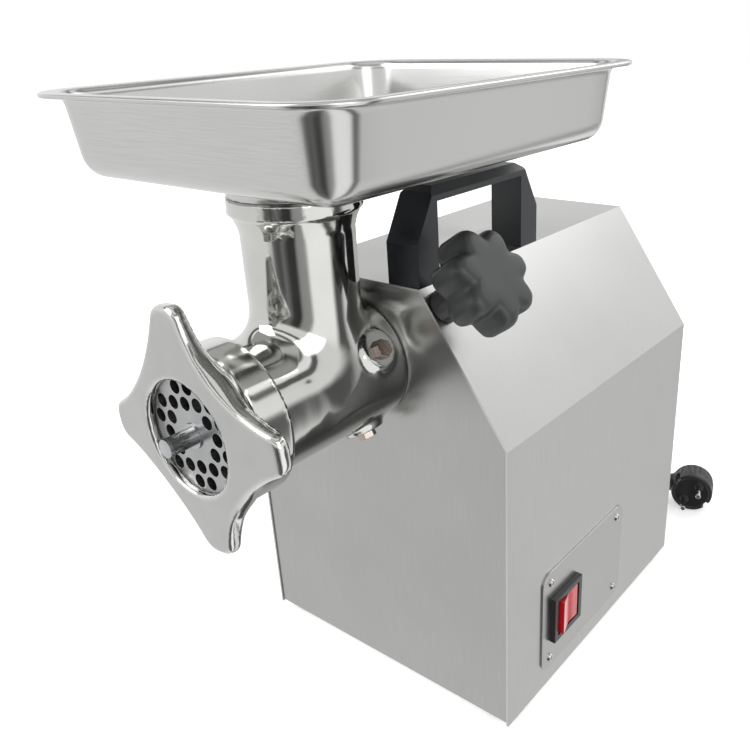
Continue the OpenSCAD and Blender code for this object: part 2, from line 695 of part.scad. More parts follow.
module knife() color("#b9bcbd") place() translate([0, knife_y, axis_z]) rotate([-90, 0, 0]) difference() {
  union() {
    cylinder(h = knife_t, r = 12);
    for (a = [20:90:290]) rotate(a) intersection() {
      translate([0, -1, 0]) cube([chamber_r, 9, knife_t]);
      translate([0, 0, -1]) cylinder(h = knife_t + 2, r = chamber_r - 1.4);
    }
  }
  translate([-6.1, -6.1, -1]) cube([12.2, 12.2, knife_t + 2]);
}

function hole_places() = [for (i = [-4:4], j = [-4:4])
  let (x = hole_step * (i + j / 2), z = hole_step * j * sqrt(3) / 2, r = norm([x, z]))
  if (r > hole_step * 1.2 && r < plate_r - hole_d / 2 - 1.2) [x, z]];

module cutting_plate() color("#aeb1b2") place() difference() {
  along_y(plate_y, plate_t, plate_r, 0, axis_z);
  along_y(plate_y - 1, plate_t + 2, worm_journal_r + run, 0, axis_z);
  translate([0, 0, axis_z]) rotate([0, -hole_turn, 0])
    for (p = hole_places()) along_y(plate_y - 1, plate_t + 2, hole_d / 2, p[0], p[1]);
  slab(-key_w / 2 - 0.3, barrel_end, axis_z - plate_r - 2, [key_w + 0.6, plate_t, 4]);
}

module plate_key() color("gainsboro") place()
  slab(-key_w / 2, barrel_end + 0.4, axis_z - plate_r - key_out,
    [key_w, plate_y + plate_t - barrel_end - 0.5, 3.6]);

module star_outline() difference() {
  intersection() {
    circle(r = lobe_r);
    rotate(star_turn) square(2 * lobe_r - 3, center = true);
  }
  for (a = [45:90:315]) rotate(star_turn + a) translate([side_mid + side_r, 0]) circle(r = side_r);
}

module ring_nut() color("#c0c2c1") place() difference() {
  union() {
    intersection() {
      profile_y(-reach, star_t) translate([0, axis_z]) star_outline();
      translate([0, -reach, axis_z]) rotate([-90, 0, 0]) rotate_extrude() polygon([[0, 0],
        [outlet_r + 5, 0], [lobe_r + 1, star_drop], [lobe_r + 1, star_t + 1], [0, star_t + 1]]);
    }
    along_y(-reach + star_t - 1, skirt_end + reach - star_t + 1, ring_r, 0, axis_z);
  }
  along_y(-reach - 1, 40, outlet_r, 0, axis_z);
  along_y(plate_y, plate_t, plate_r + slip, 0, axis_z);
  along_y(barrel_end - 1, thread_l + 6, ring_bore, 0, axis_z);
}

// ---------- tray ----------
// one level of the pan: inset from the rim, height, corner radius
function pan_loop(inset, z, r) = let (a = tray_w / 2 - inset, b = tray_l / 2 - inset)
  [for (q = [0:3], i = [0:8]) let (t = q * 90 + i * 11.25, sx = q % 3 == 0 ? 1 : -1, sy = q < 2 ? 1 : -1)
    [sx * (a - r) + r * cos(t), sy * (b - r) + r * sin(t), z]];

module pan_solid(levels) {
  n = 36;
  points = [for (l = levels) each pan_loop(l[0], l[1], l[2])];
  last = len(levels) - 1;
  faces = concat([[for (i = [0:n - 1]) i]], [for (k = [0:last - 1], i = [0:n - 1])
    [k * n + i, (k + 1) * n + i, (k + 1) * n + (i + 1) % n, k * n + (i + 1) % n]],
    [[for (i = [n - 1:-1:0]) last * n + i]]);
  polyhedron(points, faces, convexity = 4);
}

// the pan from its floor up to below the lip, t inside its outer face
function pan_levels(t) = let (r = pan_curve - t) concat(
  [for (a = [0:20:80]) let (inset = pan_side + 0.9 * (t + r * (1 - sin(a))))
    [inset, tray_floor + t + r * (1 - cos(a)), tray_corner + 2 + pan_side - inset]],
  [[pan_lip + 3 + t, tray_top - 5 + t * 0.2, tray_corner - t]]);

module feed_tray() color("#c4c6c6") place() difference() {
  union() {
    translate([0, tray_y, 0]) pan_solid(concat(pan_levels(0), [[pan_lip, tray_top - 2.2, tray_corner - 2],
      [0.6, tray_top - 2.4, tray_corner + 2], [0, tray_top - 1.2, tray_corner + 2],
      [0.8, tray_top, tray_corner + 2]]));
    translate([0, -throat_y, rim_z]) cylinder(h = tray_flange_t + 2, r = flange_r - 0.8);
    translate([0, -throat_y, rim_z - tray_neck_l]) cylinder(h = tray_neck_l, r = throat_bore - slip);
  }
  translate([0, tray_y, 0]) pan_solid(concat(pan_levels(tray_t),
    [[pan_lip + tray_t * 0.5, tray_top - 0.9, tray_corner - 2],
    [pan_lip - 1, tray_top + 1, tray_corner - 2]]));
  translate([0, -throat_y, rim_z - tray_neck_l - 1])
    cylinder(h = 60, r = throat_bore - slip - tray_t);
}

// ---------- mains lead ----------
module cable_gland() color("#1f2021") place()
  translate([gland_x, body_d, gland_z]) rotate([-90, 0, 0]) difference() {
  union() {
    translate([0, 0, -12]) cylinder(h = 12, r = gland_r - 2.2);
    cylinder(h = 4, r = gland_r + 1);
    cylinder(h = relief_l, r1 = gland_r - 2, r2 = cord_d / 2 + 1.2);
  }
  translate([0, 0, -13]) cylinder(h = relief_l + 20, r = cord_d / 2);
}

// tube swept along a list of points, with flat ends square to the route
function unit(v) = v / norm(v);
function heading(p, i) = unit(p[min(i + 1, len(p) - 1)] - p[max(i - 1, 0)]);
function side_of(h) = unit(cross(h, abs(h[2]) > 0.8 ? [1, 0, 0] : [0, 0, 1]));
module tube(p, r, n = 10) {
  rings = [for (i = [0:len(p) - 1]) let (h = heading(p, i), s = side_of(h), u = cross(s, h))
    each [for (k = [0:n - 1]) p[i] + r * (cos(k * 360 / n) * s + sin(k * 360 / n) * u)]];
  last = len(p) - 1;
  polyhedron(rings, concat([[for (k = [0:n - 1]) k]], [for (i = [0:last - 1], k = [0:n - 1])
    [i * n + k, (i + 1) * n + k, (i + 1) * n + (k + 1) % n, i * n + (k + 1) % n]],
    [[for (k = [n - 1:-1:0]) last * n + k]]));
}

module cord() color("#1b1b1c") place()
  tube(concat([[gland_x, body_d - 8, gland_z]], lead_in), cord_d / 2 - run);

module cord_coil() color("#1b1b1c") place() translate([coil_x, coil_y, 0]) rotate_extrude()
  translate([coil_edge - cord_d, 0]) square([2 * cord_d, coil_h]);

module cord_tail() color("#1b1b1c") place() tube(lead_out, cord_d / 2 - run);

module on_plug() place() translate(plug_at) rotate([0, 0, plug_turn]) children();

module plug() color("#171718") on_plug() difference() {
  union() {
    along_y(0, 24, plug_r - 0.3);
    bar_y(24, 8, plug_r - 0.3, 12);
    translate([-neck_x, neck_y, 0]) rotate([0, -90, 0]) cylinder(h = 30, r1 = 9, r2 = 5.5);
  }
  along_y(-1, 3, plug_r - 4);
}

module plug_pins() color("gainsboro") on_plug() for (z = [-9.5, 9.5]) rotate([0, 40, 0]) {
  along_y(-17, 19, 2.4, 0, z);
}

base_plate();
housing_shell();
front_panel();
rear_panel();
panel_brackets();
panel_screws();
feet();
foot_screws();
carry_handle();
handle_screws();
switch_plate();
switch_plate_screws();
switch_body();
rocker();
lock_knob();
lock_stud();
gearbox_housing();
gearbox_cover();
gearbox_bolts();
gearbox_stand();
output_shaft();
output_gear();
output_bearings();
layshaft();
layshaft_gear();
layshaft_pinion();
shaft_bearings();
motor_shaft();
motor_pinion();
rotor_core();
cooling_fan();
stator();
windings();
motor_bell_front();
motor_bell_rear();
motor_tie_bolts();
motor_cradle();
start_capacitor();
terminal_block();
head_casting();
head_bolts();
neck_bush();
worm();
knife();
cutting_plate();
plate_key();
ring_nut();
feed_tray();
cable_gland();
cord();
cord_coil();
cord_tail();
plug();
plug_pins();
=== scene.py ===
import json
import math
import bmesh
import bpy
import numpy as np
from mathutils import Matrix, Vector


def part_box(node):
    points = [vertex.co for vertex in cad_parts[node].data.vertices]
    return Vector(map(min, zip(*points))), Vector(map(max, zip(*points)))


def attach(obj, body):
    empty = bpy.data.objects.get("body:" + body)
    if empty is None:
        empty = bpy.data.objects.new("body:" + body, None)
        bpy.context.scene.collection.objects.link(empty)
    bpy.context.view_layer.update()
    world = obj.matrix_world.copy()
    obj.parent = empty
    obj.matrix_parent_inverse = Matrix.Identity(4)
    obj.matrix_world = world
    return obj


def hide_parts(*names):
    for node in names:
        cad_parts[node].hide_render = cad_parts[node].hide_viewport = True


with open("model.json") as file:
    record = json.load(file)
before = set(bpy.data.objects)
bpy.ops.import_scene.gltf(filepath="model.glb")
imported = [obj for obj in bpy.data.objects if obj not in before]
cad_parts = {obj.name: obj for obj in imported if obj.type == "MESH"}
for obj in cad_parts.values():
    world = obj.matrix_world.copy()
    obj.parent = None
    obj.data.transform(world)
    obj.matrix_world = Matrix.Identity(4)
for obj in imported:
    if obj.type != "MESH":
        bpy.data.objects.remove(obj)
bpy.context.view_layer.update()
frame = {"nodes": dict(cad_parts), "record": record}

# Electric meat grinder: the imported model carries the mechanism, and this script gives it
# its finishes and makes the cast, pressed and moulded pieces with their rounded shapes.
nodes = frame["nodes"]
mm = 0.001
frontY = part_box("housing_shell")[0][1]  # the casing's front edge
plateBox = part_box("cutting_plate")
axisZ = (plateBox[0][2] + plateBox[1][2]) / 2 / mm  # the worm's axis, in mm above the ground


def placed(x, y, z):  # mm, with y from the casing's front edge and z from the ground
    return Vector((x * mm, frontY + y * mm, z * mm))


# ---- camera ----
camera = {"at": (331.9, -388.4, 438.5), "azimuth": 39.37, "elevation": 23.44, "roll": -2.46,
          "lens": 39.18, "shift": (-0.0733, -0.004)}


def makeCamera(look):
    azimuth, elevation, roll = (math.radians(look[k]) for k in ("azimuth", "elevation", "roll"))
    back = Vector((math.sin(azimuth) * math.cos(elevation), -math.cos(azimuth) * math.cos(elevation),
                   math.sin(elevation)))
    right = Vector((0, 0, 1)).cross(back).normalized()
    up = back.cross(right)
    rolled = right * math.cos(roll) + up * math.sin(roll)
    tilted = (rolled, up * math.cos(roll) - right * math.sin(roll), back)
    data = bpy.data.cameras.new("camera")
    data.lens = look["lens"]
    data.shift_x, data.shift_y = look["shift"]
    data.clip_end = 50
    eye = bpy.data.objects.new("camera", data)
    eye.matrix_world = Matrix.Translation(Vector(look["at"]) * mm) @ Matrix(tilted).transposed().to_4x4()
    bpy.context.collection.objects.link(eye)
    bpy.context.scene.camera = eye


makeCamera(camera)
print("camera set")


# ---- node and colour helpers ----
def linear(hexColour):  # sRGB hex to the linear colour that sockets take
    parts = [int(hexColour[i:i + 2], 16) / 255 for i in (1, 3, 5)]
    return tuple(c / 12.92 if c <= 0.04045 else ((c + 0.055) / 1.055) ** 2.4 for c in parts) + (1,)


def addNode(tree, kind, inputs=None, **settings):
    node = tree.nodes.new(kind)
    for key, value in settings.items():
        setattr(node, key, value)
    for key, value in (inputs or {}).items():
        if isinstance(value, bpy.types.NodeSocket):
            tree.links.new(value, node.inputs[key])
        else:
            node.inputs[key].default_value = value
    return node


def newMaterial(name):
    material = bpy.data.materials.new(name)
    material.use_nodes = True
    material.node_tree.nodes.clear()
    return material, material.node_tree


def finished(material, tree, inputs):
    shader = addNode(tree, "ShaderNodeBsdfPrincipled", inputs)
    addNode(tree, "ShaderNodeOutputMaterial", {"Surface": shader.outputs["BSDF"]})
    return material


def grain(tree, size, detail=3, stretch=(1, 1, 1)):  # noise whose cells measure size mm
    where = addNode(tree, "ShaderNodeTexCoord").outputs["Object"]
    scale = tuple(1 / (size * mm * s) for s in stretch)
    scaled = addNode(tree, "ShaderNodeMapping", {"Vector": where, "Scale": scale})
    return addNode(tree, "ShaderNodeTexNoise", {"Vector": scaled.outputs["Vector"], "Scale": 1.0,
                                                "Detail": detail}).outputs["Fac"]


def between(tree, factor, low, high):  # a value that follows a pattern from low to high
    return addNode(tree, "ShaderNodeMapRange", {"Value": factor, "From Min": 0.1, "From Max": 0.9,
                                                "To Min": low, "To Max": high},
                   interpolation_type="SMOOTHSTEP").outputs["Result"]


def blended(tree, factor, first, second):
    mix = addNode(tree, "ShaderNodeMix", {"Factor": factor}, data_type="RGBA")
    mix.inputs[6].default_value = linear(first)
    mix.inputs[7].default_value = linear(second)
    return mix.outputs[2]


def bumped(tree, height, distance, strength, under=None):  # distance in mm
    inputs = {"Height": height, "Distance": distance * mm, "Strength": strength}
    if under:
        inputs["Normal"] = under
    return addNode(tree, "ShaderNodeBump", inputs).outputs["Normal"]


# ---- metals ----
def brushedSteel(name, look):
    # Stainless sheet rubbed along one direction: a soft satin gloss that is drawn out across the rub.
    # Real scratches are 0.1 mm wide, too fine to show, so they are drawn 0.5 mm wide.
    material, tree = newMaterial(name)
    scratch = grain(tree, 0.5, 2, look["along"])
    cloud = grain(tree, 70, 2)
    dent = bumped(tree, grain(tree, 120, 1), 0.5, look["slack"])  # the slow waves of a thin sheet
    tone = addNode(tree, "ShaderNodeMath", {0: scratch, 1: cloud}, operation="MULTIPLY_ADD")
    tone.inputs[2].default_value = 0.25
    return finished(material, tree, {
        "Base Color": blended(tree, between(tree, tone.outputs[0], 0, 1), look["dark"], look["light"]),
        "Metallic": 1.0,
        "Roughness": between(tree, cloud, look["gloss"][0], look["gloss"][1]),
        "Anisotropic": look["drawn"],
        "Normal": bumped(tree, scratch, 0.02, look["depth"], dent)})


def polishedCasting(name, look):
    # Cast stainless buffed on a wheel: near mirror, with the slow waves that hand polishing leaves
    material, tree = newMaterial(name)
    wave = grain(tree, look["wave"], 1, look["along"])
    rub = grain(tree, 0.7, 2, look["rub"])
    cloud = grain(tree, 25, 3)
    return finished(material, tree, {
        "Base Color": blended(tree, cloud, look["dark"], look["light"]),
        "Metallic": 1.0,
        "Roughness": between(tree, cloud, look["gloss"][0], look["gloss"][1]),
        "Normal": bumped(tree, rub, 0.02, 0.12, bumped(tree, wave, look["height"], 0.5))})


def satinCasting(name, look):
    # Cast stainless blasted and lightly rubbed: even grey with a fine tooth and faint cloudiness
    material, tree = newMaterial(name)
    tooth = grain(tree, 0.6, 3)
    cloud = grain(tree, 18, 3)
    return finished(material, tree, {
        "Base Color": blended(tree, cloud, look["dark"], look["light"]),
        "Metallic": 1.0,
        "Roughness": between(tree, cloud, look["gloss"][0], look["gloss"][1]),
        "Normal": bumped(tree, tooth, 0.05, 0.3)})


def facedCasting(name, look):
    # Cast stainless, blasted to an even grey where polish is 0 and buffed bright where it is 1
    material, tree = newMaterial(name)
    polish = addNode(tree, "ShaderNodeAttribute", attribute_name="polish").outputs["Fac"]
    cloud = grain(tree, 18, 2)
    tones = addNode(tree, "ShaderNodeMix", {"Factor": polish}, data_type="RGBA")
    tree.links.new(blended(tree, cloud, *look["face"]), tones.inputs[6])
    tree.links.new(blended(tree, cloud, *look["side"]), tones.inputs[7])
    gloss = addNode(tree, "ShaderNodeMapRange", {"Value": polish, "To Min": look["gloss"][0],
                                                 "To Max": look["gloss"][1]})
    return finished(material, tree, {
        "Base Color": tones.outputs[2], "Metallic": 1.0, "Roughness": gloss.outputs["Result"],
        "Normal": bumped(tree, grain(tree, 0.7, 2), 0.02, 0.15)})


def machinedSteel(name, look):
    # Turned or hobbed steel with a trace of oil: finer gloss, slight darkening in patches
    material, tree = newMaterial(name)
    mark = grain(tree, 0.8, 2, look["along"])
    return finished(material, tree, {
        "Base Color": blended(tree, grain(tree, 9, 3), look["dark"], look["light"]),
        "Metallic": 1.0,
        "Roughness": between(tree, mark, look["gloss"][0], look["gloss"][1]),
        "Normal": bumped(tree, mark, 0.02, 0.15)})


def stackedSheets(name):
    # Motor laminations, 0.5 mm sheets drawn 1 mm apart: fine dark lines round the stack
    material, tree = newMaterial(name)
    where = addNode(tree, "ShaderNodeTexCoord").outputs["Object"]
    line = addNode(tree, "ShaderNodeTexWave", {"Vector": where, "Scale": 2 * math.pi / 20 / mm,
                                               "Distortion": 0.2}, bands_direction="Y").outputs["Fac"]
    return finished(material, tree, {
        "Base Color": blended(tree, line, "#4b4d4e", "#808385"), "Metallic": 1.0,
        "Roughness": between(tree, grain(tree, 6), 0.4, 0.6), "Normal": bumped(tree, line, 0.1, 0.4)})


# ---- plastics, rubber and the rest ----
def moulded(name, look):
    # Moulded plastic: sparked texture from the tool and faint rubbed patches
    material, tree = newMaterial(name)
    skin = grain(tree, look["texture"], 3)
    cloud = grain(tree, 22, 3)
    inputs = {"Base Color": blended(tree, cloud, look["dark"], look["light"]),
              "Roughness": between(tree, cloud, look["gloss"][0], look["gloss"][1]),
              "IOR": look.get("ior", 1.5),
              "Normal": bumped(tree, skin, look["depth"], 0.5)}
    if "coat" in look:
        inputs["Coat Weight"] = look["coat"]
        inputs["Coat Roughness"] = 0.08
    if "depthLight" in look:  # light that enters the coloured plastic and comes out near by
        inputs["Subsurface Weight"] = look["depthLight"]
        inputs["Subsurface Radius"] = (0.004, 0.0008, 0.0006)
    return finished(material, tree, inputs)


def woundCopper(name):
    # Enamelled winding wire, 0.8 mm drawn at 1.5 mm: warm brown with a lacquered gloss
    material, tree = newMaterial(name)
    strand = grain(tree, 1.5, 2, (1, 6, 1))
    return finished(material, tree, {
        "Base Color": blended(tree, strand, "#6e3416", "#c07a41"), "Metallic": 1.0,
        "Roughness": between(tree, strand, 0.25, 0.5), "Normal": bumped(tree, strand, 0.3, 0.5)})


finishes = {
    "sheetCasing": brushedSteel("brushed_stainless_casing", {
        "along": (1, 1, 60), "dark": "#bfbfbd", "light": "#cfcfcd", "gloss": (0.3, 0.38),
        "drawn": 0.35, "depth": 0.1, "slack": 0.05}),
    # Front and rear panels: the casing's brushed sheet given a darker colour as painted shade
    "sheetShadedFront": brushedSteel("brushed_stainless_painted_shade_front", {
        "along": (1, 1, 60), "dark": "#a3a4a2", "light": "#b3b4b2", "gloss": (0.26, 0.32),
        "drawn": 0.2, "depth": 0.08, "slack": 0.04}),
    "sheetPlate": brushedSteel("brushed_stainless_switch_plate", {
        "along": (1, 60, 1), "dark": "#b5b5b3", "light": "#c5c5c3", "gloss": (0.28, 0.36),
        "drawn": 0.3, "depth": 0.1, "slack": 0.05}),
    "sheetTray": brushedSteel("satin_stainless_tray", {
        "along": (50, 1, 1), "dark": "#b7b7b5", "light": "#c9c9c7", "gloss": (0.17, 0.25),
        "drawn": 0.3, "depth": 0.08, "slack": 0.1}),
    "castPolished": polishedCasting("polished_cast_stainless", {
        "wave": 16, "along": (1, 1, 3), "rub": (1, 30, 30), "height": 0.5,
        "dark": "#b9b9b6", "light": "#cfcfcc", "gloss": (0.06, 0.13)}),
    "castRing": facedCasting("ring_nut_stainless", {
        "face": ("#b0b1af", "#bcbdbb"), "side": ("#c8c8c5", "#d6d6d3"), "gloss": (0.34, 0.12)}),
    "groundPlate": machinedSteel("ground_plate_steel", {
        "along": (20, 1, 20), "dark": "#9d9e9e", "light": "#b0b1b1", "gloss": (0.26, 0.34)}),
    "groundSteel": machinedSteel("ground_shaft_steel", {
        "along": (20, 1, 20), "dark": "#9a9c9d", "light": "#c0c2c3", "gloss": (0.15, 0.28)}),
    "gearSteel": machinedSteel("hobbed_gear_steel", {
        "along": (1, 12, 1), "dark": "#5f6162", "light": "#8d8f91", "gloss": (0.28, 0.42)}),
    "boltSteel": machinedSteel("zinc_plated_bolt", {
        "along": (1, 1, 1), "dark": "#8d7a70", "light": "#b9b0a8", "gloss": (0.2, 0.34)}),
    "brightSteel": machinedSteel("nickel_plated_fastener", {
        "along": (1, 1, 8), "dark": "#a9a5a2", "light": "#d3d1ce", "gloss": (0.12, 0.24)}),
    "castAluminium": satinCasting("die_cast_aluminium", {
        "dark": "#8f9193", "light": "#a7a9ab", "gloss": (0.4, 0.55)}),
    "bronze": machinedSteel("sintered_bronze", {
        "along": (1, 1, 1), "dark": "#8a6b3a", "light": "#b9965c", "gloss": (0.35, 0.5)}),
    "laminations": stackedSheets("motor_laminations"),
    "copper": woundCopper("enamelled_copper"),
    "knobPlastic": moulded("phenolic_knob", {
        "dark": "#252726", "light": "#323534", "gloss": (0.34, 0.46), "texture": 0.5, "depth": 0.04}),
    "handlePlastic": moulded("moulded_nylon_handle", {
        "dark": "#101317", "light": "#1b1f24", "gloss": (0.27, 0.38), "texture": 0.6, "depth": 0.03}),
    "switchBlack": moulded("abs_switch_frame", {
        "dark": "#1c191c", "light": "#2a262a", "gloss": (0.25, 0.35), "texture": 0.4, "depth": 0.02}),
    "rockerRed": moulded("red_polycarbonate_rocker", {
        "dark": "#a3101a", "light": "#c4202a", "gloss": (0.12, 0.2), "texture": 2, "depth": 0.01,
        "ior": 1.58, "coat": 0.3, "depthLight": 0.25}),
    "rubber": moulded("rubber_foot", {
        "dark": "#151515", "light": "#232323", "gloss": (0.6, 0.75), "texture": 0.5, "depth": 0.05}),
    "leadPvc": moulded("pvc_lead", {
        "dark": "#101011", "light": "#1a1a1b", "gloss": (0.3, 0.42), "texture": 1.2, "depth": 0.03}),
    "plugPvc": moulded("pvc_plug", {
        "dark": "#131314", "light": "#1f1f21", "gloss": (0.3, 0.42), "texture": 0.5, "depth": 0.03}),
    "fanPlastic": moulded("moulded_nylon_fan", {
        "dark": "#1b1c1d", "light": "#2b2d2e", "gloss": (0.4, 0.5), "texture": 0.6, "depth": 0.03}),
    "capacitorShell": moulded("capacitor_shell", {
        "dark": "#c3c0b6", "light": "#dcd9cf", "gloss": (0.3, 0.4), "texture": 0.7, "depth": 0.02}),
    "terminalNylon": moulded("terminal_nylon", {
        "dark": "#cfcbbf", "light": "#e4e0d4", "gloss": (0.35, 0.45), "texture": 0.7, "depth": 0.02}),
    "bracketPaint": moulded("painted_bracket", {
        "dark": "#56595b", "light": "#6b6e71", "gloss": (0.35, 0.5), "texture": 1.2, "depth": 0.03}),
}
print("finishes made:", len(finishes))

nodeFinishes = {
    "sheetCasing": ["base_plate", "housing_shell", "panel_brackets"],
    "sheetShadedFront": ["front_panel", "rear_panel"],
    "sheetPlate": ["switch_plate"],
    "brightSteel": ["panel_screws", "foot_screws", "handle_screws", "switch_plate_screws", "gearbox_bolts",
                    "motor_tie_bolts", "lock_stud", "plate_key", "plug_pins"],
    "boltSteel": ["head_bolts"],
    "rubber": ["feet", "cable_gland"],
    "handlePlastic": ["carry_handle"],
    "switchBlack": ["switch_body"],
    "rockerRed": ["rocker"],
    "knobPlastic": ["lock_knob"],
    "castAluminium": ["gearbox_housing", "gearbox_cover", "motor_bell_front", "motor_bell_rear"],
    "bracketPaint": ["gearbox_stand", "motor_cradle"],
    "groundSteel": ["worm", "output_shaft", "layshaft", "motor_shaft", "output_bearings", "shaft_bearings"],
    "gearSteel": ["output_gear", "layshaft_gear", "layshaft_pinion", "motor_pinion"],
    "laminations": ["rotor_core", "stator"],
    "fanPlastic": ["cooling_fan"],
    "copper": ["windings"],
    "capacitorShell": ["start_capacitor"],
    "terminalNylon": ["terminal_block"],
    "castPolished": ["head_casting"],
    "castRing": ["ring_nut"],
    "bronze": ["neck_bush"],
    "groundPlate": ["knife", "cutting_plate"],
    "sheetTray": ["feed_tray"],
    "leadPvc": ["cord", "cord_coil", "cord_tail"],
    "plugPvc": ["plug"],
}
finishOf = {node: finish for finish, group in nodeFinishes.items() for node in group}
for name, node in nodes.items():
    for materialSlot in node.material_slots:
        materialSlot.material = finishes[finishOf[name]]
bodyOf = {node: body for body, group in frame["record"]["behaviour"]["bodies"].items() for node in group}


# ---- mesh helpers ----
def addPiece(name, mesh, node, materials, sharp=35):
    for material in materials:
        mesh.materials.append(finishes[material])
    mesh.polygons.foreach_set("use_smooth", [True] * len(mesh.polygons))
    if sharp:
        mesh.set_sharp_from_angle(angle=math.radians(sharp))
    piece = bpy.data.objects.new(name, mesh)
    bpy.context.collection.objects.link(piece)
    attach(piece, bodyOf[node])
    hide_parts(node)
    return piece


def softened(node, name, edge, segments, steep=28):  # a CAD node with its sharp edges rounded, edge in mm
    shape = bmesh.new()
    shape.from_mesh(nodes[node].data)
    bmesh.ops.remove_doubles(shape, verts=shape.verts, dist=0.00001)
    bmesh.ops.dissolve_limit(shape, angle_limit=math.radians(0.5), verts=shape.verts, edges=shape.edges)
    edges = [e for e in shape.edges if len(e.link_faces) == 2 and e.calc_face_angle() > math.radians(steep)]
    bmesh.ops.bevel(shape, geom=edges, offset=edge * mm, segments=segments, profile=0.5, affect="EDGES",
                    clamp_overlap=True)
    mesh = bpy.data.meshes.new(name)
    shape.to_mesh(mesh)
    shape.free()
    piece = addPiece(name, mesh, node, [finishOf[node]], 40)
    flat = piece.modifiers.new("flat_faces", "WEIGHTED_NORMAL")  # only the rounded edges shade round
    flat.keep_sharp = True


def lofted(loops, closed=False, capped=True):  # a mesh through loops that have the same number of points
    count = len(loops[0])
    verts = [tuple(p) for loop in loops for p in loop]
    rows = range(len(loops) if closed else len(loops) - 1)
    faces = []
    for k in rows:
        low, high = k * count, (k + 1) % len(loops) * count
        faces += [(low + i, low + (i + 1) % count, high + (i + 1) % count, high + i) for i in range(count)]
    if capped and not closed:
        faces += [tuple(reversed(range(count))), tuple(len(verts) - count + i for i in range(count))]
    mesh = bpy.data.meshes.new("loft")
    mesh.from_pydata(verts, [], faces)
    shape = bmesh.new()
    shape.from_mesh(mesh)
    bmesh.ops.recalc_face_normals(shape, faces=shape.faces)
    shape.to_mesh(mesh)
    shape.free()
    return mesh


# ---- cast pieces: a closed skin where a field of distances in mm is zero ----
def softMin(a, b, reach):  # the nearer of two surfaces, run together over reach mm
    h = np.maximum(reach - np.abs(a - b), 0) / reach
    return np.minimum(a, b) - h * h * reach / 4


def softMax(a, b, reach):
    return -softMin(-a, -b, reach)


def skinOf(field, low, high, cell):
    low = np.array(low, float)
    counts = np.ceil((np.array(high) - low) / cell).astype(int) + 1
    axes = [low[i] + cell * np.arange(counts[i]) for i in range(3)]
    value = field(np.stack(np.meshgrid(*axes, indexing="ij"), -1))
    total = np.zeros(tuple(counts) + (3,))
    hits = np.zeros(tuple(counts), int)
    quads = []
    for d in range(3):
        u, v = (d + 1) % 3, (d + 2) % 3
        a = np.moveaxis(value, d, 0)[:-1]
        b = np.moveaxis(value, d, 0)[1:]
        cut = np.moveaxis((a < 0) != (b < 0), 0, d)
        first = np.moveaxis(a, 0, d)[cut]
        second = np.moveaxis(b, 0, d)[cut]
        index = np.argwhere(cut)
        point = index.astype(float)
        point[:, d] += first / (first - second)
        ring = []
        for du, dv in ((1, 1), (0, 1), (0, 0), (1, 0)):
            cellIndex = index.copy()
            cellIndex[:, u] -= du
            cellIndex[:, v] -= dv
            key = tuple(cellIndex.T)
            np.add.at(total, key, point)
            np.add.at(hits, key, 1)
            ring.append(np.ravel_multi_index(key, counts))
        ring = np.stack(ring, 1)
        ring[first >= 0] = ring[first >= 0][:, ::-1]
        quads.append(ring)
    used = np.flatnonzero(hits.ravel())
    number = np.zeros(hits.size, int)
    number[used] = np.arange(len(used))
    points = low + cell * total.reshape(-1, 3)[used] / hits.ravel()[used][:, None]
    step = 0.05
    for _ in range(4):  # onto the surface itself
        slope = np.stack([field(points + step * e) - field(points - step * e) for e in np.eye(3)], 1)
        slope /= 2 * step
        away = field(points) / np.maximum((slope ** 2).sum(1), 0.1)
        points -= np.clip(away, -cell, cell)[:, None] * slope
    return points, number[np.concatenate(quads)]


def castMesh(name, points, quads):
    mesh = bpy.data.meshes.new(name)
    mesh.from_pydata([tuple(placed(x, y, axisZ + z)) for x, y, z in points], [], quads.tolist())
    return mesh


# ---- plug: moulded face, ribbed grip, earth clips and the neck that the lead runs into ----
plug = {"at": (103, 322, 19.5), "turn": 19, "face": 19.5, "neckAt": 16, "neck": 8.4, "reach": 44,
        "pins": 40, "ribs": 24, "taper": 22, "core": 15.4, "clip": 3.2, "pinAt": 9.5, "pinFoot": 3.6,
        "cell": 0.9}


def plugPoint(x, y, z):  # in the plug's own frame, with y back from its face
    turn = math.radians(plug["turn"])
    return placed(plug["at"][0] + x * math.cos(turn) - y * math.sin(turn),
                  plug["at"][1] + x * math.sin(turn) + y * math.cos(turn), plug["at"][2] + z)


def plugField(p):
    x, y, z = p[..., 0], p[..., 1], p[..., 2]
    radius = np.hypot(x, z)
    lean = math.radians(plug["pins"])
    pinward = x * math.sin(lean) + z * math.cos(lean)
    clipward = x * math.cos(lean) - z * math.sin(lean)
    grip = plug["face"] - 0.5 - np.where(y > plug["taper"], (y - plug["taper"]) * 0.75, 0)
    ribbed = np.clip((y - 7) / 2, 0, 1) * np.clip((21 - y) / 2, 0, 1)
    ribs = 0.5 * np.cos(np.arctan2(z, x) * plug["ribs"]) * ribbed
    body = softMax(radius - grip + 0.5 + ribs, np.abs(y - 16) - 16, 2)
    body = softMax(body, -softMax(radius - plug["core"], np.abs(y) - 0.8, 0.4), 0.5)
    for sign in (-1, 1):  # a groove that an earth clip lies in, and the raised foot of a pin
        groove = np.maximum(np.abs(pinward) - plug["clip"], 15.6 - sign * clipward)
        body = softMax(body, -np.maximum(groove, y - 12), 0.6)
        foot = np.hypot(pinward - sign * plug["pinAt"], clipward) - plug["pinFoot"]
        body = softMin(body, softMax(foot, np.abs(y - 1) - 0.8, 0.3), 0.4)
    sleeve = np.hypot(y - plug["neckAt"], z) - plug["neck"] - 0.1 * (x + 16)
    sleeve = softMax(sleeve, np.maximum(x, -plug["reach"] - x), 0.8)
    rings = 0.45 * np.cos(x * math.pi / 2.2) * np.clip((-x - 22) / 2, 0, 1)
    return softMin(body, sleeve + rings * 0.8, 3)


